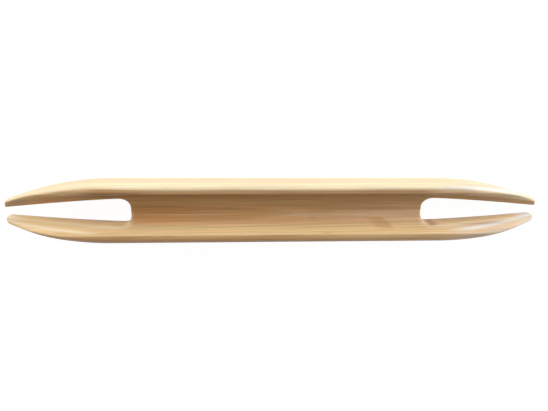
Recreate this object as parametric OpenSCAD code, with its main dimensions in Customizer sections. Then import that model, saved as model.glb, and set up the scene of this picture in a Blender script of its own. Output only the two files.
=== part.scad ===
// Rug shuttle: one piece of wood, hollowed along both faces and forked at both ends.
// Yarn or rag strip is wound lengthwise through the two open slots.
// Millimetres. X runs along the shuttle, Y across it, Z up. It lies on its rims at z = 0.

/* [Body] */
// Length from tip to tip
length = 500; // [400:5:700]
// Width over both rims
width = 57.5; // [54:0.5:70]
// Thickness over both faces
thickness = 35; // [32:0.5:42]
// Distance that the rounding of a long outer edge reaches across a face
edge_width = 6; // [4:0.5:7]
// Distance that the same rounding reaches down a side
edge_height = 8; // [5:0.5:10]

/* [Hollow along each face] */
// Radius of the hollow
hollow_radius = 20.5; // [19.5:0.5:24]
// Wood left between the two hollows
web = 9; // [8:0.5:14]
// Height over which a hollow's edge is rounded into the rim
rim_blend = 2; // [1:0.5:4]

/* [Ends] */
// Length over which the sides curve in towards a tip
side_taper = 96; // [70:1:120]
// Width over both prongs at a tip
tip_width = 22.5; // [20:0.5:30]
// Length over which the faces fall away towards a tip
face_taper = 54; // [40:1:80]
// Thickness of a prong at its tip
tip_thickness = 13.5; // [10:0.5:16]
// Radius of the blunt tips' edges
tip_radius = 2; // [1:0.5:3]

/* [Slots] */
// Length of a slot, from the tip to its inner end
slot_length = 112.5; // [90:0.5:140]
// Width of a slot at its inner end
slot_width = 26; // [20:0.5:28]
// Radius of the two corners at its inner end
slot_corner = 9; // [6:0.5:10]
// Width of a slot's open mouth
slot_mouth = 9; // [7:0.5:12]
// Bow of a slot's sides, where 1 is straight
slot_bow = 1.25; // [1:0.05:2]

/* [Hidden] */
$fn = 64;
half_length = length / 2;
half_web = web / 2;
slot_end = slot_length - slot_corner;  // from the tip to the centres of the slot's corners
overcut = 1;                           // a cut runs this far past the wood
tip_steps = 3;                         // sections over the rounding of a tip
first_steps = 9;                       // sections from there to where the shorter taper starts
last_steps = 4;                        // sections from there to where the longer taper starts
face_steps = 16;                       // points from the centre line to the outer edge
face_sweep = 75;                       // they crowd towards the rim, by a sine up to this angle
edge_steps = 6;                        // points round the outer edge

// Height lost at distance u from a tip, by an arc that starts level at run and has lost fall at the tip.
function arc_drop(u, run, fall) =
    let (radius = (run * run + fall * fall) / (2 * fall), x = max(run - u, 0))
    radius - sqrt(radius * radius - x * x);

// Height lost to the quarter round at the very tip.
function tip_drop(u) =
    u >= tip_radius ? 0 : tip_radius - sqrt(tip_radius * tip_radius - pow(tip_radius - u, 2));

// The body without its hollows at distance u from a tip: half its width and half its thickness.
function half_width(u) =
    width / 2 - arc_drop(u, side_taper, (width - tip_width) / 2) - tip_drop(u);
function half_thickness(u) =
    thickness / 2 - arc_drop(u, face_taper, (thickness - tip_thickness) / 2) - tip_drop(u);

// The oval rounding of its outer edges, which shrinks where the body gets thin.
function edge_share(u) = min(1, 0.8 * half_thickness(u) / edge_height);
function edge_across(u) = edge_width * edge_share(u);
function edge_down(u) = edge_height * edge_share(u);

// Height above the middle plane of the hollow's floor, and of the uncut face, at y from the centre line.
function hollow_z(y) =
    half_web + hollow_radius - sqrt(max(hollow_radius * hollow_radius - y * y, 0));
function face_z(y, u) =
    let (across = edge_across(u), past = max(y - half_width(u) + across, 0) / across)
    half_thickness(u) - edge_down(u) * (1 - sqrt(max(1 - past * past, 0)));

// The lower of two heights, with the corner between them rounded over a height of blend.
function soft_min(a, b, blend) =
    min(a, b) - pow(max(blend - abs(a - b), 0), 2) / (4 * blend);

// Distances from the centre line at which a section has its points.
function section_ys(u) =
    let (across = edge_across(u), flat = half_width(u) - across)
    concat(
        [for (i = [0 : face_steps - 1]) flat * sin(face_sweep * i / face_steps) / sin(face_sweep)],
        [for (i = [0 : edge_steps]) flat + across * sin(90 * i / edge_steps)]
    );

// One quarter of a section, from the centre line out, as [y, z] over the middle plane.
function quarter(u) =
    [for (y = section_ys(u)) [y, soft_min(face_z(y, u), hollow_z(y), rim_blend)]];

// A whole section at x, clockwise seen from +X, which starts at the top on the centre line.
function section(x) =
    let (q = quarter(half_length - abs(x)), last = len(q) - 1)
    concat(
        [for (i = [0 : last]) [x, q[i][0], q[i][1]]],
        [for (i = [last : -1 : 0]) [x, q[i][0], -q[i][1]]],
        [for (i = [1 : last]) [x, -q[i][0], -q[i][1]]],
        [for (i = [last : -1 : 1]) [x, -q[i][0], q[i][1]]]
    );

// Distances from a tip at which the shape is sampled: close together where it curves most,
// and exactly where each taper starts.
first_taper = min(face_taper, side_taper);
last_taper = max(face_taper, side_taper, first_taper + last_steps);  // at least 1 mm a section
end_us = concat(
    [for (i = [0 : tip_steps - 1]) tip_radius * (1 - cos(90 * i / tip_steps))],
    [for (i = [0 : first_steps - 1]) tip_radius + (first_taper - tip_radius) * i / first_steps],
    [for (i = [0 : last_steps]) first_taper + (last_taper - first_taper) * i / last_steps]
);
last_u = len(end_us) - 1;
section_xs = concat(
    [for (i = [0 : last_u]) end_us[i] - half_length],
    [for (i = [last_u : -1 : 0]) half_length - end_us[i]]
);

// A solid skinned over sections that all have the same number of points.
module skin(sections) {
    rows = len(sections);
    n = len(sections[0]);
    points = [for (s = sections) for (p = s) p];
    walls = [
        for (i = [0 : rows - 2]) for (j = [0 : n - 1])
            let (k = (j + 1) % n, a = i * n, b = a + n)
            each [[a + j, b + k, b + j], [a + j, a + k, b + k]]
    ];
    near_cap = [for (j = [n - 1 : -1 : 0]) j];
    far_cap = [for (j = [0 : n - 1]) (rows - 1) * n + j];
    polyhedron(points, concat(walls, [near_cap, far_cap]));
}

// Half the width of a slot at distance u from the tip.
function slot_y(u) =
    slot_width / 2 - (slot_width - slot_mouth) / 2 * pow(max(1 - max(u, 0) / slot_end, 0), slot_bow);

// Outline of the slot at the +X end: bowed sides that close in to the mouth, and a round-cornered inner end.
module slot_outline() {
    side_us = [for (i = [0 : 12]) slot_end * i / 12];
    side = concat([[-overcut, slot_mouth / 2]], [for (u = side_us) [u, slot_y(u)]]);
    hull() for (side = [-1, 1])
        translate([half_length - slot_end, side * (slot_width / 2 - slot_corner)]) circle(slot_corner);
    polygon(concat(
        [for (p = side) [half_length - p[0], p[1]]],
        [for (i = [len(side) - 1 : -1 : 0]) [half_length - side[i][0], -side[i][1]]]
    ));
}

module slot_cut() {
    translate([0, 0, -overcut])
        linear_extrude(height = thickness + 2 * overcut) slot_outline();
}

// The whole shuttle.
module shuttle_body() {
    color("burlywood")
        difference() {
            translate([0, 0, thickness / 2]) skin([for (x = section_xs) section(x)]);
            slot_cut();
            mirror([1, 0, 0]) slot_cut();
        }
}

shuttle_body();
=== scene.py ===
# %% [markdown]
# A rug shuttle, from a bare solid to lacquered wood
# This lesson dresses a weaving shuttle. The real one is a single block of pale wood, half a metre long.
# It is hollowed along both broad faces, forked at both ends, sanded soft and given a clear satin lacquer.
# The solid model already has the right shape and size, so it is loaded first and is never moved.
# Its box is kept, because the finished piece may not grow past it.

# %% Load the solid model
import math

import bmesh
import bpy
from mathutils import Matrix, Vector


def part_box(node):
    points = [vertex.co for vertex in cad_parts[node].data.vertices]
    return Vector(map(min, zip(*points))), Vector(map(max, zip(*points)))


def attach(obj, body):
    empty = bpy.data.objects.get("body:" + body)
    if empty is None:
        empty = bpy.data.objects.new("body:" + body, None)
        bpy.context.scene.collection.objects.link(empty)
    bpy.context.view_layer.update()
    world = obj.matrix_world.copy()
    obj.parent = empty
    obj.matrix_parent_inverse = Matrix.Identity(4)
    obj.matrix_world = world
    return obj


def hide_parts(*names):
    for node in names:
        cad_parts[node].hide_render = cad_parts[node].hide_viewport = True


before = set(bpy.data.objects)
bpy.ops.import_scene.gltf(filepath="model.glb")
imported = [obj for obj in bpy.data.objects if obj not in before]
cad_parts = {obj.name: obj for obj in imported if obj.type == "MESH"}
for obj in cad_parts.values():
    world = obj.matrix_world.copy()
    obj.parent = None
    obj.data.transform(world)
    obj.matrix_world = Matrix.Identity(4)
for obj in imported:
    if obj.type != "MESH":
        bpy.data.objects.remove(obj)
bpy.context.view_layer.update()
low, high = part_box("shuttle_body")
print("solid model, low and high corner:", tuple(low), tuple(high))

# %% [markdown]
# The sizes come next. Length, width and thickness are read from the solid, so the new piece always fits it.
# The rest are the maker's own measures: how deep the hollow is, how round the edges are, how the ends taper.
# One size is new. A shuttle's slot would fray the yarn if its edges were left sharp, so they are eased.

# %% Sizes, in metres
MM = 0.001
HALF_LENGTH = (high.x - low.x) / 2
HALF_WIDTH = (high.y - low.y) / 2
HALF_THICKNESS = (high.z - low.z) / 2
EDGE_WIDTH = 6 * MM
EDGE_HEIGHT = 8 * MM
HOLLOW_RADIUS = 20.5 * MM
HALF_WEB = 4.5 * MM
RIM_BLEND = 2 * MM
SIDE_TAPER = 96 * MM
TIP_HALF_WIDTH = 11.25 * MM
FACE_TAPER = 54 * MM
TIP_HALF_THICKNESS = 6.75 * MM
TIP_RADIUS = 2 * MM
SLOT_LENGTH = 112.5 * MM
SLOT_HALF_WIDTH = 13 * MM
SLOT_CORNER = 9 * MM
SLOT_HALF_MOUTH = 4.5 * MM
SLOT_BOW = 1.25
SLOT_EASE = 1.2 * MM
MOUTH_EASE = 0.5 * MM
SLOT_END = SLOT_LENGTH - SLOT_CORNER
CORNER_X = HALF_LENGTH - SLOT_END
CORNER_Y = SLOT_HALF_WIDTH - SLOT_CORNER
print("the slot's corners are centred at", round(CORNER_X, 4), "and", round(CORNER_Y, 4))

# %% [markdown]
# The shape is ruled by a few curves. An arc narrows the sides towards a tip and another thins the faces.
# A quarter round softens an edge. The distance u is always measured back from the nearer tip.
# A block cut down with modifiers would only come near these curves, so they are worked out instead.

# %% Curves of the outside
def arc_drop(u, run, fall):
    """Height lost at u by an arc that starts level at run and has lost fall at the tip."""
    radius = (run * run + fall * fall) / (2 * fall)
    x = max(run - u, 0)
    return radius - math.sqrt(radius * radius - x * x)


def quarter_round(distance, radius):
    """Height lost to a rounded edge, at a distance in from it."""
    left = min(max(radius - distance, 0), radius)
    return radius - math.sqrt(radius * radius - left * left)


def half_width(u):
    taper = arc_drop(u, SIDE_TAPER, HALF_WIDTH - TIP_HALF_WIDTH)
    return HALF_WIDTH - taper - quarter_round(u, TIP_RADIUS)


def half_thickness(u):
    taper = arc_drop(u, FACE_TAPER, HALF_THICKNESS - TIP_HALF_THICKNESS)
    return HALF_THICKNESS - taper - quarter_round(u, TIP_RADIUS)


print("at its tips the shuttle is", round(2 * half_thickness(TIP_RADIUS) / MM, 1), "mm thick")

# %% [markdown]
# Each end is forked by a slot with bowed sides, which leaves two slim prongs. A bevel of one width
# everywhere would eat their tips away, so both kinds of softened edge, the outer one and the slot's,
# shrink with the wood that carries them.

# %% The slot's side and the softened edges
EDGE_PER_THICKNESS = 0.8
EDGE_PER_PRONG = 0.6
EASE_PER_PRONG = 0.38


def slot_side(u):
    """Half the slot's width at u, with its mouth flared a little."""
    closing = max(1 - u / SLOT_END, 0) ** SLOT_BOW
    side = SLOT_HALF_WIDTH - (SLOT_HALF_WIDTH - SLOT_HALF_MOUTH) * closing
    return side + quarter_round(u, MOUTH_EASE)


def prong_width(u):
    return half_width(u) - slot_side(u)


def edge_share(u):
    """The oval edge shrinks where the wood gets thin. This is what is left of its full size."""
    by_thickness = EDGE_PER_THICKNESS * half_thickness(u) / EDGE_HEIGHT
    by_prong = EDGE_PER_PRONG * prong_width(u) / EDGE_WIDTH
    return min(1, by_thickness, by_prong)


def slot_ease(u):
    return min(SLOT_EASE, EASE_PER_PRONG * prong_width(u))


def flat_edge(u):
    """How far from the centre line the face runs before it rounds over to the side."""
    return half_width(u) - EDGE_WIDTH * edge_share(u)


print("a prong at its tip is", round(prong_width(0) / MM, 2), "mm wide")

# %% [markdown]
# The face is the lower of two surfaces: the tapered outside, and a straight round-bottomed hollow.
# Where they cross, the rim would be a crease. Sandpaper rounds it, and so does a smooth minimum.
# Near the slot the face rolls over by a quarter round, by its distance from the slot's edge.

# %% Height of the face over the middle plane
def smooth_min(a, b, blend):
    """The smaller of the two, with the crease between them rounded."""
    return min(a, b) - max(blend - abs(a - b), 0) ** 2 / (4 * blend)


def outside_height(u, y):
    share = edge_share(u)
    past = min(max(y - flat_edge(u), 0) / (EDGE_WIDTH * share), 1)
    return half_thickness(u) - EDGE_HEIGHT * share * (1 - math.sqrt(1 - past * past))


def hollow_height(y):
    return HALF_WEB + HOLLOW_RADIUS - math.sqrt(max(HOLLOW_RADIUS ** 2 - y * y, 0))


def face_height(x, y, from_slot):
    u = HALF_LENGTH - x
    face = smooth_min(outside_height(u, y), hollow_height(y), RIM_BLEND)
    return face - quarter_round(from_slot, slot_ease(u))


print("the hollow is", round((HALF_THICKNESS - HALF_WEB) / MM, 2), "mm deep")

# %% [markdown]
# Only a quarter of one face has to be modelled, because the rest is its mirror image.
# It is made in patches, as a sail is. Each patch starts as a flat grid, and its corners are then lifted
# onto the face. The rows of faces follow the form: along the hollow, fanned round the slot's end,
# and along a prong. A grid that ignored the slot would leave its round end jagged.

# %% A patch of the skin
skin = bmesh.new()
rubbed = skin.verts.layers.float.new("rubbed")


def patch(rows, columns, place, rubbing=None):
    """Adds a grid, moves each of its corners to place(row, column) and notes how rubbed it is."""
    made = bmesh.ops.create_grid(skin, x_segments=columns, y_segments=rows, size=0.5)
    for vert in made["verts"]:
        column = round((vert.co.x + 0.5) * columns)
        row = round((vert.co.y + 0.5) * rows)
        vert.co = place(row, column)
        if rubbing:
            vert[rubbed] = rubbing(row, column)
    print("patch of", rows, "by", columns, "faces")


# %% [markdown]
# The waist is the plain stretch between the slots. The hollow is steepest just inside the rim,
# so the columns of the grid stand closer together there. Even columns as fine as those would need
# nearly three times as many faces.

# %% The waist, between the two slots
FLAT = flat_edge(HALF_LENGTH)
FAN_X = CORNER_X - FLAT
WAIST_ROWS = 56
WAIST_COLUMNS = 24
SWEEP = math.radians(75)


def column_y(column):
    """Columns crowd towards the rim, as the points of a sine do towards its crest."""
    return FLAT * math.sin(SWEEP * column / WAIST_COLUMNS) / math.sin(SWEEP)


def waist(row, column):
    x = FAN_X * row / WAIST_ROWS
    y = column_y(column)
    return Vector((x, y, face_height(x, y, FLAT)))


patch(WAIST_ROWS, WAIST_COLUMNS, waist)

# %% [markdown]
# The slot ends squarely, with two round corners. The ribs of the grid stand square to its edge:
# straight across the middle, and like rays from a corner's centre beside it.
# The first few steps of each ray are short, so that the eased edge is truly round.

# %% Steps away from the slot's edge
EASE_STEPS = 5
OUT_STEPS = 18


def quarter_turn(step, steps):
    """The angle reached after so many of the equal steps of a quarter turn."""
    return math.radians(90 * step / steps)


def step_out(step, gap, ease):
    """Distance from the slot's edge after so many steps on the way to gap."""
    if step <= EASE_STEPS:
        return ease * (1 - math.cos(quarter_turn(step, EASE_STEPS)))
    return ease + (gap - ease) * (step - EASE_STEPS) / (OUT_STEPS - EASE_STEPS)


print("the eased edge is", round(step_out(EASE_STEPS, SLOT_CORNER, SLOT_EASE) / MM, 2), "mm wide")

# %% [markdown]
# Yarn runs over the slot's edge and rubs its lacquer pale. How much it has rubbed is kept with each corner
# of the grid, as a number from 0 to 1, and the finish reads it later. A mask set by place would miss the
# edge where it bends. The slot's sides are rubbed more than its closed end and the prongs' tips. The finish
# also uses this number for a painted highlight on the slot edges that face the window.

# %% The fan round the slot's end
FAN_COLUMNS = 18
MOST_RUBBED_STEP = 4
END_RUB = 0.3


def rub(step):
    """How much the yarn has rubbed the slot's edge, at each step across it."""
    return max(1 - abs(step - MOST_RUBBED_STEP) / MOST_RUBBED_STEP, 0)


def on_ray(step, back, y_end):
    """A point on the ray that ends at y_end, so far back from the corner's centre."""
    y_start = min(y_end, CORNER_Y)
    reach = math.hypot(back, y_end - y_start)
    distance = step_out(step, reach - SLOT_CORNER, SLOT_EASE)
    along = (SLOT_CORNER + distance) / reach
    x = CORNER_X - back * along
    y = y_start + (y_end - y_start) * along
    return Vector((x, y, face_height(x, y, distance)))


def fan_back(step, column):
    return on_ray(step, FLAT, column_y(column))


def fan_side(step, column):
    return on_ray(step, FLAT * (1 - column / FAN_COLUMNS), FLAT)


patch(OUT_STEPS, WAIST_COLUMNS, fan_back, lambda row, column: rub(row) * END_RUB)
patch(OUT_STEPS, FAN_COLUMNS, fan_side, lambda row, column: rub(row))

# %% [markdown]
# A prong is long and slim, so its ribs simply cross it. They crowd together at the tip, which is rounded.

# %% The prong
TIP_ROWS = 6
PRONG_ROWS = 60
ROW_CROWDING = 1.15
TIP_RUB = 0.4


def prong_u(row):
    """Distance from the tip of a rib of the prong, which are counted from the tip."""
    if row <= TIP_ROWS:
        return TIP_RADIUS * (1 - math.cos(quarter_turn(row, TIP_ROWS)))
    share = (row - TIP_ROWS) / (PRONG_ROWS - TIP_ROWS)
    return TIP_RADIUS + (SLOT_END - TIP_RADIUS) * share ** ROW_CROWDING


def prong(row, step):
    u = prong_u(row)
    distance = step_out(step, flat_edge(u) - slot_side(u), slot_ease(u))
    x = HALF_LENGTH - u
    y = slot_side(u) + distance
    return Vector((x, y, face_height(x, y, distance)))


def prong_rub(row, step):
    """The tip is rubbed less than the rest of the prong."""
    return rub(step) * (TIP_RUB + (1 - TIP_RUB) * row / PRONG_ROWS)


patch(PRONG_ROWS, OUT_STEPS, prong, prong_rub)

# %% [markdown]
# Along the outside the face rolls over into the side wall. Three strips follow the three patches above,
# rib for rib, so that their corners fall together and can be merged.

# %% The rounded outer edge
ROUND_STEPS = 8


def rolled(x, step):
    u = HALF_LENGTH - x
    y = flat_edge(u) + EDGE_WIDTH * edge_share(u) * math.sin(quarter_turn(step, ROUND_STEPS))
    return Vector((x, y, face_height(x, y, FLAT)))


def waist_edge(row, step):
    return rolled(FAN_X * row / WAIST_ROWS, step)


def fan_edge(row, step):
    return rolled(FAN_X + FLAT * row / FAN_COLUMNS, step)


def prong_edge(row, step):
    return rolled(HALF_LENGTH - prong_u(row), step)


patch(WAIST_ROWS, ROUND_STEPS, waist_edge)
patch(FAN_COLUMNS, ROUND_STEPS, fan_edge)
patch(PRONG_ROWS, ROUND_STEPS, prong_edge)
MERGE = 0.005 * MM
bmesh.ops.remove_doubles(skin, verts=skin.verts, dist=MERGE)
print("the quarter face has", len(skin.faces), "faces")

# %% [markdown]
# The side wall and the slot's wall stand square to the face. The open border of the skin is extruded
# and its new corners are set on the middle plane. The cut ends at the centre lines stay where they are,
# because the mirror images join there, and so does the tip, which gets its own cap.
# One call could extrude the whole border, but it hands back its faces in no fixed order. One edge
# after another, with their shared corners merged, gives the same mesh in every run.

# %% The walls, down to the middle plane
def on_cut(vert):
    """True on the two centre planes and on the tip."""
    return vert.co.x < MERGE or abs(vert.co.y) < MERGE or vert.co.x > HALF_LENGTH - MERGE


border = [e for e in skin.edges if e.is_boundary and not all(on_cut(v) for v in e.verts)]
for edge in border:
    wall = bmesh.ops.extrude_edge_only(skin, edges=[edge])
    for element in wall["geom"]:
        if isinstance(element, bmesh.types.BMVert):
            element.co.z = 0
bmesh.ops.remove_doubles(skin, verts=skin.verts, dist=MERGE)
print("walls:", len(border), "faces")

# %% [markdown]
# Three mirrors make the whole: the lower face, the other side and the other end.
# The tips are then the only openings left. Each is filled with one face, which is inset,
# so that its flat middle doesn't spoil the shading of the rounded edge.

# %% Mirror and cap
CAP_INSET = 0.3 * MM
CM3 = 1e6
for axis in "ZYX":
    geometry = skin.verts[:] + skin.edges[:] + skin.faces[:]
    bmesh.ops.mirror(skin, geom=geometry, matrix=Matrix.Identity(4), merge_dist=MERGE, axis=axis)
bmesh.ops.remove_doubles(skin, verts=skin.verts, dist=MERGE)
open_edges = [e for e in skin.edges if e.is_boundary]
caps = bmesh.ops.edgeloop_fill(skin, edges=open_edges)["faces"]
bmesh.ops.recalc_face_normals(skin, faces=skin.faces)
bmesh.ops.inset_individual(skin, faces=caps, thickness=CAP_INSET)
bmesh.ops.translate(skin, vec=(0, 0, HALF_THICKNESS), verts=skin.verts)
print(len(caps), "tips capped;", len(skin.faces), "faces")
print("volume", round(skin.calc_volume() * CM3, 2), "cm3")

# %% [markdown]
# The skin becomes an object. It stands in for the solid's node, which is hidden, and rides on the root body.
# Its wood finish is made below.

# %% The finished piece
mesh = bpy.data.meshes.new("shuttle")
skin.to_mesh(mesh)
skin.free()
mesh.shade_smooth()
shuttle = bpy.data.objects.new("shuttle", mesh)
bpy.context.scene.collection.objects.link(shuttle)
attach(shuttle, "root")
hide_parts("shuttle_body")
print(shuttle.name, "has", len(mesh.vertices), "corners")

# %% [markdown]
# Materials are written as sums. This small class stands for one output of a node, and an expression
# such as 1 - mask adds the Math node that works it out. The same nodes could be set and joined by hand,
# but a finish with a few hundred of them is easier to read and to change as sums.

# %% A socket that can be added and multiplied
class Signal:
    """One output of a shader node."""

    def __init__(self, tree, socket):
        self.tree = tree
        self.socket = socket

    def also(self, name):
        """Another output of the same node."""
        return Signal(self.tree, self.socket.node.outputs[name])

    def feed(self, node, name):
        """Links this output to an input of a node."""
        self.tree.links.new(self.socket, node.inputs[name])

    def math(self, operation, *values):
        """A Math node in the same tree, with these values or signals in its sockets."""
        return add_node(self.tree, "ShaderNodeMath", {"operation": operation}, dict(enumerate(values)))

    def __add__(self, other):
        return self.math("ADD", self, other)

    __radd__ = __add__

    def __sub__(self, other):
        return self.math("SUBTRACT", self, other)

    def __rsub__(self, other):
        return self.math("SUBTRACT", other, self)

    def __mul__(self, other):
        return self.math("MULTIPLY", self, other)

    __rmul__ = __mul__

    def __truediv__(self, other):
        return self.math("DIVIDE", self, other)

    def __pow__(self, other):
        return self.math("POWER", self, other)

    def __abs__(self):
        return self.math("ABSOLUTE", self)

    def fraction(self):
        return self.math("FRACT", self)

    def root(self):
        return self.math("SQRT", self)

    def at_least(self, other):
        """The larger of the two."""
        return self.math("MAXIMUM", self, other)

    def smooth_step(self, start, end):
        """0 at start, 1 at end, and a smooth rise between them."""
        settings = {"interpolation_type": "SMOOTHSTEP", "clamp": True}
        return add_node(self.tree, "ShaderNodeMapRange", settings, {"Value": self, 1: start, 2: end})


def add_node(tree, kind, settings, inputs, output=0):
    """Adds a node, sets it, feeds its sockets and gives one of its outputs."""
    node = tree.nodes.new(kind)
    for name, value in settings.items():
        setattr(node, name, value)
    for name, value in inputs.items():
        if isinstance(value, Signal):
            value.feed(node, name)
        else:
            node.inputs[name].default_value = value
    return Signal(tree, node.outputs[output]) if node.outputs else None


# %% [markdown]
# A new finish starts with a bare surface node and the object's own coordinates. Colours are mixed
# by a node of their own, because a Math node would turn them grey.

# %% Start a finish
def new_finish(name):
    """An empty material, its node tree, its surface node and a point on the object."""
    material = bpy.data.materials.new(name)
    material.use_nodes = True
    tree = material.node_tree
    tree.nodes.clear()
    surface = add_node(tree, "ShaderNodeBsdfPrincipled", {}, {})
    add_node(tree, "ShaderNodeOutputMaterial", {}, {"Surface": surface})
    point = add_node(tree, "ShaderNodeTexCoord", {}, {}, "Object")
    return material, tree, surface.socket.node, point


def mix_colours(tree, share, first, second, blend="MIX"):
    settings = {"data_type": "RGBA", "blend_type": blend}
    return add_node(tree, "ShaderNodeMix", settings, {0: share, 6: first, 7: second}, 2)


def grey(tree, level):
    """A colour with as much red as green and blue."""
    return add_node(tree, "ShaderNodeCombineColor", {}, {0: level, 1: level, 2: level})


# %% [markdown]
# Wood is a bundle of fibres, and a sawn face shows them as fine streaks that run the length of the block.
# A picture of wood could be wrapped round the piece, but it would stretch at the tips and show a seam.
# Noise is read at a point of the object instead. It runs right through the block, as real grain does,
# so the faces, the edges and the slots' walls agree. It is drawn out along the shuttle in four sizes.

# %% The fibres
wood, tree, surface, point = new_finish("lacquered_wood")
place = add_node(tree, "ShaderNodeSeparateXYZ", {}, {0: point})
x, y, z = place, place.also("Y"), place.also("Z")


def grain(length, breadth, detail, seed):
    """Noise with marks of this length and breadth, in millimetres."""
    scale = tuple(1 / (size * MM) for size in (length, breadth, breadth))
    shift = (seed, seed, seed)
    mapped = add_node(tree, "ShaderNodeMapping", {}, {"Vector": point, "Location": shift, "Scale": scale})
    return add_node(tree, "ShaderNodeTexNoise", {}, {"Vector": mapped, "Scale": 1.0, "Detail": detail})


fibre = grain(50, 0.9, 3.0, 1.3)
fine = grain(12, 0.22, 2.0, 5.9)
strand = grain(90, 1.6, 2.0, 4.4)
cloud = grain(120, 20, 2.0, 9.2)
print("the finish starts with", len(tree.nodes), "nodes")

# %% [markdown]
# A tree grows in rings round its pith. Late in the year the wood is denser, so each ring ends in a darker
# line and the next one starts pale again. The pith lay below this block and a little to its near side.
# A ring is the distance from it, counted in rings, with the whole numbers thrown away.
# Two broad noises bend the rings. One of them, wander, also bends the borders between the colours to come.

# %% The growth rings
PITH_Y = -12 * MM
PITH_Z = -85 * MM
PITH_LEAN = 0.012
RING_GAP = 2.1 * MM
BEND = 2.2
SLOW_BEND = 3.0
DRIFT = 4 * MM
wander = grain(450, 30, 2.0, 3.1)
slow = grain(900, 200, 1.0, 7.7)
away = ((y - PITH_Y) ** 2 + (z - PITH_Z + x * PITH_LEAN) ** 2).root()
ring = (away / RING_GAP + wander * BEND + slow * SLOW_BEND).fraction()
late = ring.smooth_step(0.45, 0.9) * (1 - ring.smooth_step(0.93, 1.0))
drift = (wander - 0.5) * DRIFT
across = y + drift
print("the pith lies", round(-PITH_Z / MM), "mm under the block")
print("a ring is", round(RING_GAP / MM, 1), "mm wide")

# %% [markdown]
# The real block isn't of one colour. Each of its tones fills a soft region, and these helpers say where
# a region is. Places are in millimetres from the shuttle's middle: along it in x, with the right end
# positive, and across it in y, with the far side positive. A mask painted by hand would do as well,
# but it needs an image, and numbers are easier to move.

# %% Soft edges and lines
def rise(signal, start, end):
    """A soft edge: 0 at start and 1 at end, in millimetres."""
    return signal.smooth_step(start * MM, end * MM)


def fade(signal, start, end):
    """A soft edge the other way round: 1 at start and 0 at end."""
    return 1 - rise(signal, start, end)


def line(signal, at, half_width):
    """1 where the signal is at this place, and 0 beyond half_width on both sides."""
    return fade(abs(signal - at * MM), 0, half_width)


# %% [markdown]
# Next come the places themselves: how far a point is from the nearer side and from the middle plane,
# which half and which end it is on, and how near to a tip. The rounded edges are where the height
# over the middle plane is a good part of what the block has there.

# %% Where a point lies
ROUNDING = (0.45, 0.75)
reach = abs(x)


def lost(run, fall):
    """Nearly the height that a side or a face has lost to its arc, over the last run of the shuttle."""
    past = (reach - (HALF_LENGTH - run)).at_least(0)
    return past * past * (fall / (run ** 2 + fall ** 2))


drop = lost(SIDE_TAPER, HALF_WIDTH - TIP_HALF_WIDTH)
half_height = HALF_THICKNESS - lost(FACE_TAPER, HALF_THICKNESS - TIP_HALF_THICKNESS)
height = z - HALF_THICKNESS
rounding = (abs(height) / half_height).smooth_step(*ROUNDING)
upper_rounding = (height / half_height).smooth_step(*ROUNDING)
from_edge = HALF_WIDTH - drop - abs(y)
far_half = rise(y, -0.5, 0.5)
near_half = 1 - far_half
left_part = fade(x, -130, 20)
right_part = rise(x, 0, 130)
toward_tip = rise(reach, 125, 235)
right_prong = rise(x, 130, 190)
print("places are known;", len(tree.nodes), "nodes")

# %% [markdown]
# The colour is built up in coats, as a stainer works: a ground first, then one tint over another, each in
# its own place and at its own strength. Some coats are not stain but painted shade and painted highlights.
# One node per coat keeps the order easy to follow.
# The ground is honey brown. Down the hollow runs the redder heart, which gets paler to the right.

# %% The ground and the heart
class StainAndLight:
    """The colour of the wood, built up in coats of stain, painted shade and painted highlights."""

    def __init__(self, ground):
        self.colour = ground
        self.coats = 0

    def coat(self, tint, where, strength=1.0, blend="MIX"):
        """Lays a tint over the colour so far: at full strength where the signal is 1, and not at 0."""
        self.colour = mix_colours(tree, where * strength, self.colour, tint, blend)
        self.coats += 1


HONEY = (0.67, 0.385, 0.17, 1)
RUSSET = (0.56, 0.29, 0.115, 1)
TAN = (0.73, 0.465, 0.25, 1)
BLUSH = (0.84, 0.57, 0.35, 1)
GINGER = (0.62, 0.33, 0.12, 1)

stain_and_light = StainAndLight(HONEY)
patches = grain(70, 6, 1.0, 6.3).smooth_step(0.42, 0.68)
stain_and_light.coat(RUSSET, patches, 0.22)
heart = rise(across, -10.5, -5.5) * fade(across, 5.5, 11.5)
stain_and_light.coat(RUSSET, left_part * heart, 0.45)
stain_and_light.coat(TAN, right_part, 0.75)
right_heart = right_part * rise(across, -9.5, -6.5) * fade(across, -1, 2)
stain_and_light.coat(BLUSH, right_heart, 0.6)
near_heart = line(x, -110, 45) * rise(across, -14.5, -11.5) * fade(across, -4, -1.5)
stain_and_light.coat(GINGER, near_heart, 0.5)
pale_patch = line(x, 10, 35) * rise(across, -6.5, -4) * fade(across, 0, 2)
stain_and_light.coat(BLUSH, pale_patch, 0.4)
print(stain_and_light.coats, "coats after the heart")

# %% [markdown]
# The far slope of the hollow lies in the rim's shade, and is painted a paler fawn as painted fill light. Up
# by the far rim it is painted browner as painted shade, and darkest beside the left slot, where the rim
# stands between it and the window. Both far tips have a tone of their own.
# The left part of the hollow is then warmed a little as a whole.

# %% The far half
FAWN = (0.83, 0.535, 0.26, 1)
TOFFEE = (0.75, 0.47, 0.225, 1)
COCOA = (0.63, 0.375, 0.17, 1)
CHESTNUT = (0.53, 0.297, 0.132, 1)
FAR_END = (0.97, 0.585, 0.30, 1)
FAR_BROWN = (0.68, 0.40, 0.195, 1)
RIDGE = (0.58, 0.37, 0.20, 1)
SHADOWED = (0.355, 0.168, 0.048, 1)
WARMER = (1.0, 0.93, 0.86, 1)

# Painted fill light: the far slope of the hollow, in the rim's shade, is painted paler.
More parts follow.
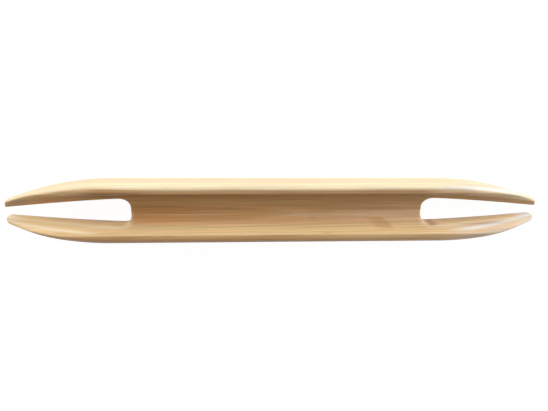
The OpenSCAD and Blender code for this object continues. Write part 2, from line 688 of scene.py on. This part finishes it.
slope_fill_light = mix_colours(tree, right_part, FAWN, TOFFEE)
stain_and_light.coat(slope_fill_light, rise(across, 4, 10), 0.85)
# Painted shade: the far rim's inner slope is painted browner.
rim_shade_tint = mix_colours(tree, rise(x, 20, 100), COCOA, CHESTNUT)
stain_and_light.coat(rim_shade_tint, rise(across, 14.5, 18.5), 0.9)
tip_tint = mix_colours(tree, right_part, FAR_END, FAR_BROWN)
stain_and_light.coat(tip_tint, rise(reach, 155, 225) * rise(across, 0, 5))
far_left_tip = fade(x, -240, -212) * far_half * fade(across, 12.5, 15)
stain_and_light.coat(RIDGE, far_left_tip, 0.55)
# Painted shade beside the left slot, where the rim hides the window.
neck = line(x, -155, 45) * rise(across, 14.5, 17) * fade(across, 20.5, 22.5)
stain_and_light.coat(SHADOWED, neck, 0.95)
warm_left = fade(x, -120, -40) * rise(x, -225, -205)
warm_left = warm_left * rise(across, -16.5, -12.5) * fade(across, 10, 13.5)
stain_and_light.coat(WARMER, warm_left, blend="MULTIPLY")
print(stain_and_light.coats, "coats after the far half")

# %% [markdown]
# The near rim is straw coloured and the side below it amber, with a rosy tinge at the right end.
# Where the near edge rolls over, it turns away from the window, and the real one is nearly black there.
# A lamp can't darken one edge, so shade is painted onto the roll, but only on the upper face.
# From the front the shuttle then still looks like plain wood.

# %% The near rim and side
STRAW = (0.745, 0.525, 0.26, 1)
AMBER = (0.80, 0.44, 0.185, 1)
ROSE_SIDE = (0.78, 0.58, 0.42, 1)
UMBER = (0.46, 0.235, 0.095, 1)
WALNUT = (0.25, 0.125, 0.054, 1)

near_crest = fade(across, -15.5, -9.5)
stain_and_light.coat(STRAW, near_crest, 0.95)
near_side = fade(across, -23.5, -18.5)
stain_and_light.coat(AMBER, near_side * (1 - right_part * 0.55) * (1 - right_prong * 0.6))
rosy_side = fade(across, -19.5, -16.5) * right_prong
stain_and_light.coat(ROSE_SIDE, rosy_side, 0.6)
upper_roll = near_half * upper_rounding
# Painted shade on the upper roll of the near edge, where it turns from the window.
painted_side_shade = fade(from_edge, 0.8, 6.2) * upper_roll
stain_and_light.coat(UMBER, painted_side_shade * (1 - right_part * 0.4))
painted_contour_shade = fade(from_edge, 0.5, 3.4) * upper_roll
stain_and_light.coat(WALNUT, painted_contour_shade, 0.75)
outer_shade = fade(from_edge, 1, 6) * upper_roll * toward_tip
stain_and_light.coat(UMBER, outer_shade * (1 - right_prong), 0.5)
print(stain_and_light.coats, "coats after the near rim")

# %% [markdown]
# Near the ends the far rim narrows to a shelf that catches the window, and that light is painted into it as
# a pale tone.
# A brown ridge interrupts it on the left, and on the right the pale tone starts well before the tip.

# %% The far shelf
SHELF = (0.97, 0.70, 0.36, 1)
PALE_SHELF = (0.97, 0.74, 0.46, 1)

shelf_side = across + drop * 0.45 + right_prong * (1.8 * MM)
# Painted light: the shelf that faces the window is painted pale.
shelf = rise(reach, 165, 200) * rise(shelf_side, 17, 19)
shelf_light_tint = mix_colours(tree, right_part, SHELF, PALE_SHELF)
stain_and_light.coat(shelf_light_tint, shelf, 0.9)
ridge = line(x, -195, 30) * rise(across, 19.5, 21.2)
stain_and_light.coat(RIDGE, ridge, 0.9)
# Painted light: on the right the pale tone starts before the tip.
pale_neck_light = line(x, 162, 35) * rise(across, 19, 21.2)
stain_and_light.coat(PALE_SHELF, pale_neck_light, 0.6)
print(stain_and_light.coats, "coats after the far shelf")

# %% [markdown]
# Sapwood is the young, pale wood under the bark. Here a pale band takes up the far side, which faces the
# window, so it is partly sapwood and partly painted window light. It wavers with the grain and gets narrower
# towards both ends. It is creamy on the rounded edges and buff on the wall between them. On the right prong
# the rounded edges get a painted pearly sheen.

# %% The sapwood and the painted light on the far side
BUFF = (0.86, 0.67, 0.42, 1)
CREAM = (0.92, 0.765, 0.50, 1)
PEARL_SHEEN = (0.78, 0.65, 0.47, 1)
SAP_AND_LIGHT_WIDTH = 6.1 * MM
LOST_ON_LEFT = 3.4 * MM
LOST_ON_RIGHT = 3 * MM

band = SAP_AND_LIGHT_WIDTH - fade(x, -230, -80) * LOST_ON_LEFT - rise(x, 170, 210) * LOST_ON_RIGHT
# Partly sapwood, partly painted window light on the far side.
sapwood_and_light = fade(from_edge - drift - band, -1.8, 1.2) * far_half
side_tint = mix_colours(tree, rounding, BUFF, CREAM)
# A painted pearly sheen on the right prong's rounded edges.
sap_and_sheen_tint = mix_colours(tree, right_prong * rounding, side_tint, PEARL_SHEEN)
stain_and_light.coat(sap_and_sheen_tint, sapwood_and_light)
print("the sapwood is", round(SAP_AND_LIGHT_WIDTH / MM, 1), "mm wide in the middle")

# %% [markdown]
# The near prongs get paler towards their tips, and the walls of the slots that face the window are painted
# blond, as painted window light. Only after these the growth rings are drawn, so that they run through every
# tone. They are weaker in the pale far band and near the tips. The pale rub of the yarn lies over them, with
# a painted highlight on the near half, whose slot edges face the window; it is faint on the far half.

# %% The ends, the slots' walls, the rings and the rub
PALE_END = (0.95, 0.69, 0.38, 1)
ROSE_END = (0.86, 0.62, 0.43, 1)
BLOND = (0.90, 0.64, 0.33, 1)
LATE = (0.50, 0.25, 0.10, 1)
RUB_AND_SHINE = (0.95, 0.82, 0.60, 1)
FAR_RUB = 0.04
NEAR_RUB_AND_HIGHLIGHT = 0.54

near_inner = rise(across, -19.5, -15) * fade(across, -2, 2)
rosy_tip = rise(x, 190, 235) * near_half * 0.8
end_tint = mix_colours(tree, right_part, PALE_END, ROSE_END)
stain_and_light.coat(end_tint, (toward_tip * near_inner).at_least(rosy_tip))
# Painted window light on the slot walls that face it.
slot_wall_light = rise(reach, 134, 141) * fade(abs(height), 7.2, 8.8) * rise(y, -15, -13.8)
stain_and_light.coat(BLOND, slot_wall_light * near_half, 0.85)
stain_and_light.coat(LATE, late * (1 - sapwood_and_light * 0.4) * (1 - toward_tip * 0.75), 0.28)
# Wear from the yarn, with a painted highlight on the near half.
rub_and_highlight = add_node(tree, "ShaderNodeAttribute", {"attribute_name": "rubbed"}, {}, "Fac")
stain_and_light.coat(RUB_AND_SHINE, rub_and_highlight * (FAR_RUB + near_half * (NEAR_RUB_AND_HIGHLIGHT - FAR_RUB)))
print(stain_and_light.coats, "coats after the rub")

# %% [markdown]
# Thin streaks of light lie along the prongs, where the lacquer has gone glossy from handling. The lamps
# alone give a fainter shine there, so the streaks are painted highlights, pale strokes in the colour. They
# follow the taper of the side, and are warm on the left end and silvery on the right.

# %% Painted shine along the prongs
SILVER = (0.93, 0.90, 0.88, 1)

# Painted highlights along the prongs.
near_place = y - right_prong * (0.8 * MM) - drop * (0.6 + right_prong * 0.2)
near_shine = line(near_place, -18, 1.8 + right_prong * 0.8) * rise(reach, 155, 195) * near_half
stain_and_light.coat(RUB_AND_SHINE, near_shine * left_part, 0.8)
stain_and_light.coat(SILVER, near_shine * right_part, 0.85)
far_shine = line(y + drop * 0.67, 25.1, 2.4) * far_half * right_prong * rounding
stain_and_light.coat(SILVER, far_shine, 0.8)
print(stain_and_light.coats, "coats after the shine")

# %% [markdown]
# No block is free of small marks, and they are what the eye remembers: a pale thread, a slanted darker
# patch, a dark fleck, a fine reddish line with pale edges, and two reddish patches on the near rim.
# They stay where they are on the block, so noise won't do and each one is placed one by one.

# %% Marks along the waist
def spot(x_at, half_length, y_at, half_breadth):
    """A small soft mark, by its middle and by half its length and breadth."""
    return line(x, x_at, half_length) * line(y, y_at, half_breadth)


pale_thread = line(y, -3.1, 0.7) * rise(x, -135, -110) * fade(x, -75, -30)
stain_and_light.coat(RUB_AND_SHINE, pale_thread, 0.3)
slant = x + (y + 6.8 * MM) * 1.2
slanted_patch = rise(slant, 78, 90) * fade(slant, 98, 102) * rise(y, -17.5, -13.5) * fade(y, -7.2, -5.5)
stain_and_light.coat(RUSSET, slanted_patch, 0.6)
stain_and_light.coat(UMBER, spot(33, 6, -6.8, 1.1), 0.6)
span = rise(x, 0, 30) * fade(x, 100, 122)
stain_and_light.coat(RUB_AND_SHINE, line(y, -4.3, 1.6) * span, 0.5)
stain_and_light.coat(RUSSET, line(y, -4.3, 0.6) * span, 0.85)
stain_and_light.coat(GINGER, spot(-101, 11, -20.5, 1.4) + spot(45, 9, -18.6, 1.2), 0.55)
print(stain_and_light.coats, "coats after the waist's marks")

# %% [markdown]
# The near prongs have marks too. The left one is pale at its very tip. The right one has a dark wedge beside
# the slot's end, a reddish tail along the grain, a greyish band of painted shade on its side and a painted
# silvery highlight at its tip.

# %% Marks on the near prongs
SIENNA = (0.50, 0.24, 0.12, 1)
ASH = (0.56, 0.45, 0.37, 1)

pale_tip = fade(x, -248, -230) * near_half * rise(y, -9.5, -5.5)
stain_and_light.coat(RUB_AND_SHINE, pale_tip, 0.7)
tail = line(x, 200, 34) * line(y - (x - 195 * MM) * 0.08, -12.6, 2.4)
stain_and_light.coat(SIENNA, tail, 0.45)
# Painted shade: a greyish band along the right prong's side.
grey_side_shade = line(from_edge + rise(x, 205, 235) * (4 * MM), 5.4, 3) * rise(x, 172, 192)
stain_and_light.coat(ASH, grey_side_shade * near_half, 0.6)
# Painted highlight at the right prong's tip.
tip_highlight = rise(x, 226, 244) * upper_roll
stain_and_light.coat(SILVER, tip_highlight, 0.5)
wedge = line(x - (y + 12.5 * MM) * 2, 150, 7) * line(y, -12.8, 2.2)
stain_and_light.coat(SIENNA, wedge, 0.8)
print(stain_and_light.coats, "coats after the last marks")

# %% [markdown]
# The fibres come last of all, because every tint has to show them. They make the colour lighter and
# darker by up to an eighth, and by half of that at the tips. A multiplied grey keeps each tint's hue.

# %% The fibres' light and dark
CONTRAST = 0.26
LOST_AT_TIP = 0.14
MIDDLE_TONE = 0.98
STREAKS = (0.36, 0.64)

streak = fibre * 0.4 + strand * 0.35 + fine * 0.15 + cloud * 0.1
contrast = CONTRAST - toward_tip * LOST_AT_TIP
tone = streak.smooth_step(*STREAKS) * contrast + MIDDLE_TONE - contrast * 0.5
stain_and_light.coat(grey(tree, tone), 1.0, blend="MULTIPLY")
stain_and_light.colour.feed(surface, "Base Color")
print(stain_and_light.coats, "coats in all")

# %% [markdown]
# The block is sealed with a satin lacquer. It is thickest on the rims and has worn thin in the hollow,
# where the yarn lies. The fibres still stand up through it by a few hundredths of a millimetre,
# which a bump gives. What is the same all over is set on the surface's own sockets.

# %% The lacquer
ROUGHNESS = 0.4
FIBRE_ROUGHNESS = 0.1
THIN_COAT = 0.05
THICK_COAT = 0.4
COAT_ROUGHNESS = 0.22
SPECULAR_LEVEL = 0.25
RELIEF = {"Strength": 0.25, "Distance": 0.04 * MM}

roughness = ROUGHNESS + fibre * FIBRE_ROUGHNESS
roughness.feed(surface, "Roughness")
lacquer = THIN_COAT + rise(abs(height), 9, 16) * (THICK_COAT - THIN_COAT)
lacquer.feed(surface, "Coat Weight")
bump = add_node(tree, "ShaderNodeBump", {}, {**RELIEF, "Height": fibre * 0.6 + fine * 0.4})
bump.feed(surface, "Normal")
surface.inputs["Coat Roughness"].default_value = COAT_ROUGHNESS
surface.inputs["Specular IOR Level"].default_value = SPECULAR_LEVEL
shuttle.data.materials.append(wood)
print("the wood has", len(tree.nodes), "nodes")

# %% [markdown]
# The floor is a pale sheet. One square of it is enough, because it is far larger than the view.

# %% The floor
FLOOR_SIZE = 6
sheet = bmesh.new()
bmesh.ops.create_grid(sheet, x_segments=1, y_segments=1, size=FLOOR_SIZE / 2)
floor_mesh = bpy.data.meshes.new("floor")
sheet.to_mesh(floor_mesh)
sheet.free()
floor = bpy.data.objects.new("floor", floor_mesh)
bpy.context.scene.collection.objects.link(floor)
print("the floor is", FLOOR_SIZE, "m wide")

# %% [markdown]
# The shuttle should stand on white, as if it were cut out. More light on the floor would spoil the
# shuttle's own tones, so the floor's finish asks which ray is looking. To the camera, a mirror or a glass
# it glows nearly white, with a faint trace of the shadow left. To the rays that carry light
# it is plain card.

# %% The floor's finish
CARD_WHITE = 0.86
KEPT_SHADOW = 0.16
FLOOR_GLOW = 0.965
CARD_ROUGHNESS = 0.9


def seen_directly(tree):
    """1 for rays from the camera, a mirror or a glass, and 0 for those that carry light."""
    path = add_node(tree, "ShaderNodeLightPath", {}, {}, "Is Camera Ray")
    return path.at_least(path.also("Is Glossy Ray")).at_least(path.also("Is Transmission Ray"))


card, card_tree, card_surface, _ = new_finish("floor_card")
seen = seen_directly(card_tree)
card_level = CARD_WHITE * (1 - seen * (1 - KEPT_SHADOW))
grey(card_tree, card_level).feed(card_surface, "Base Color")
grey(card_tree, seen).feed(card_surface, "Emission Color")
card_surface.inputs["Emission Strength"].default_value = FLOOR_GLOW
card_surface.inputs["Roughness"].default_value = CARD_ROUGHNESS
card_surface.inputs["Specular IOR Level"].default_value = 0.0
floor_mesh.materials.append(card)
print("the card reflects", CARD_WHITE, "of the light")

# %% [markdown]
# The room round the shuttle gives a weak, warm light from everywhere, as its walls would. Where the camera
# looks past the floor it should see white, so the same question is asked here.

# %% Room light
AMBIENT = (1.0, 0.93, 0.84, 1)
AMBIENT_LEVEL = 0.04
WHITE = (1, 1, 1, 1)
world = bpy.data.worlds.new("room")
bpy.context.scene.world = world
world.use_nodes = True
room = world.node_tree
room.nodes.clear()
dim = add_node(room, "ShaderNodeBackground", {}, {"Color": AMBIENT, "Strength": AMBIENT_LEVEL})
white = add_node(room, "ShaderNodeBackground", {}, {"Color": WHITE, "Strength": 1.0})
both = add_node(room, "ShaderNodeMixShader", {}, {0: seen_directly(room), 1: dim, 2: white})
add_node(room, "ShaderNodeOutputWorld", {}, {"Surface": both})
print("the room's light has a level of", AMBIENT_LEVEL)

# %% [markdown]
# The bright far side, the dark near edge and the gloss at both ends say where the light came from:
# a wide window behind the shuttle, with a second, low one that skims the rims, and a smaller one
# at each end, cool on the right and warm on the left. A weak lamp low in front keeps the near side
# from going black. All are area lamps, because a point lamp would draw hard shadows.

# %% Lamps
def soft_lamp(name, azimuth, elevation, distance, size, power, colour):
    """A soft oblong lamp that looks at the shuttle. Azimuth 0 is +X and 90 is +Y, in degrees."""
    lamp = bpy.data.lights.new(name, "AREA")
    lamp.shape = "RECTANGLE"
    lamp.size, lamp.size_y = size
    lamp.energy = power
    lamp.color = colour
    holder = bpy.data.objects.new(name, lamp)
    a = math.radians(azimuth)
    e = math.radians(elevation)
    direction = Vector((math.cos(a) * math.cos(e), math.sin(a) * math.cos(e), math.sin(e)))
    holder.location = direction * distance
    holder.rotation_euler = direction.to_track_quat("Z", "Y").to_euler()
    holder.visible_camera = False
    bpy.context.scene.collection.objects.link(holder)
    print(name, "at", tuple(round(v, 2) for v in holder.location))


soft_lamp("low_window", 90, 8, 0.75, size=(1.6, 0.16), power=1.6, colour=(1.0, 1.0, 1.0))
soft_lamp("window", 90, 33, 0.8, size=(1.6, 0.7), power=7.7, colour=(1.0, 1.0, 0.98))
soft_lamp("right_window", 0, 14, 0.8, size=(0.5, 0.2), power=3.1, colour=(0.86, 0.94, 1.0))
soft_lamp("front_fill", -90, 3.5, 0.8, size=(1.6, 0.06), power=1.6, colour=(1.0, 0.96, 0.9))
soft_lamp("left_window", 180, 14, 0.8, size=(0.5, 0.2), power=1.3, colour=(1.0, 0.93, 0.82))

# %% [markdown]
# The camera stands close above the shuttle and a little beyond its far side, so that the far wall shows,
# and leans by 15 degrees to look back at it. So near, it sees both ends at a slant, and a long lens
# from farther off would lose that. The focal length is measured in the picture's pixels, so it is turned
# into millimetres on the sensor.

# %% Camera
PHOTO_WIDTH = 548
FOCAL_PIXELS = 440
SENSOR_WIDTH = 36
EYE_PLACE = (-0.0276, 0.1124, 0.4224)
EYE_TURN = (-0.2616, -0.0560, -0.0036)
NEAREST = 0.01
camera = bpy.data.cameras.new("camera")
camera.sensor_width = SENSOR_WIDTH
camera.lens = SENSOR_WIDTH * FOCAL_PIXELS / PHOTO_WIDTH
camera.clip_start = NEAREST
eye = bpy.data.objects.new("camera", camera)
eye.location = EYE_PLACE
eye.rotation_mode = "ZYX"
eye.rotation_euler = EYE_TURN
bpy.context.scene.collection.objects.link(eye)
bpy.context.scene.camera = eye
bpy.context.scene.view_settings.view_transform = "Standard"
print("the focal length is", round(camera.lens, 1), "mm")
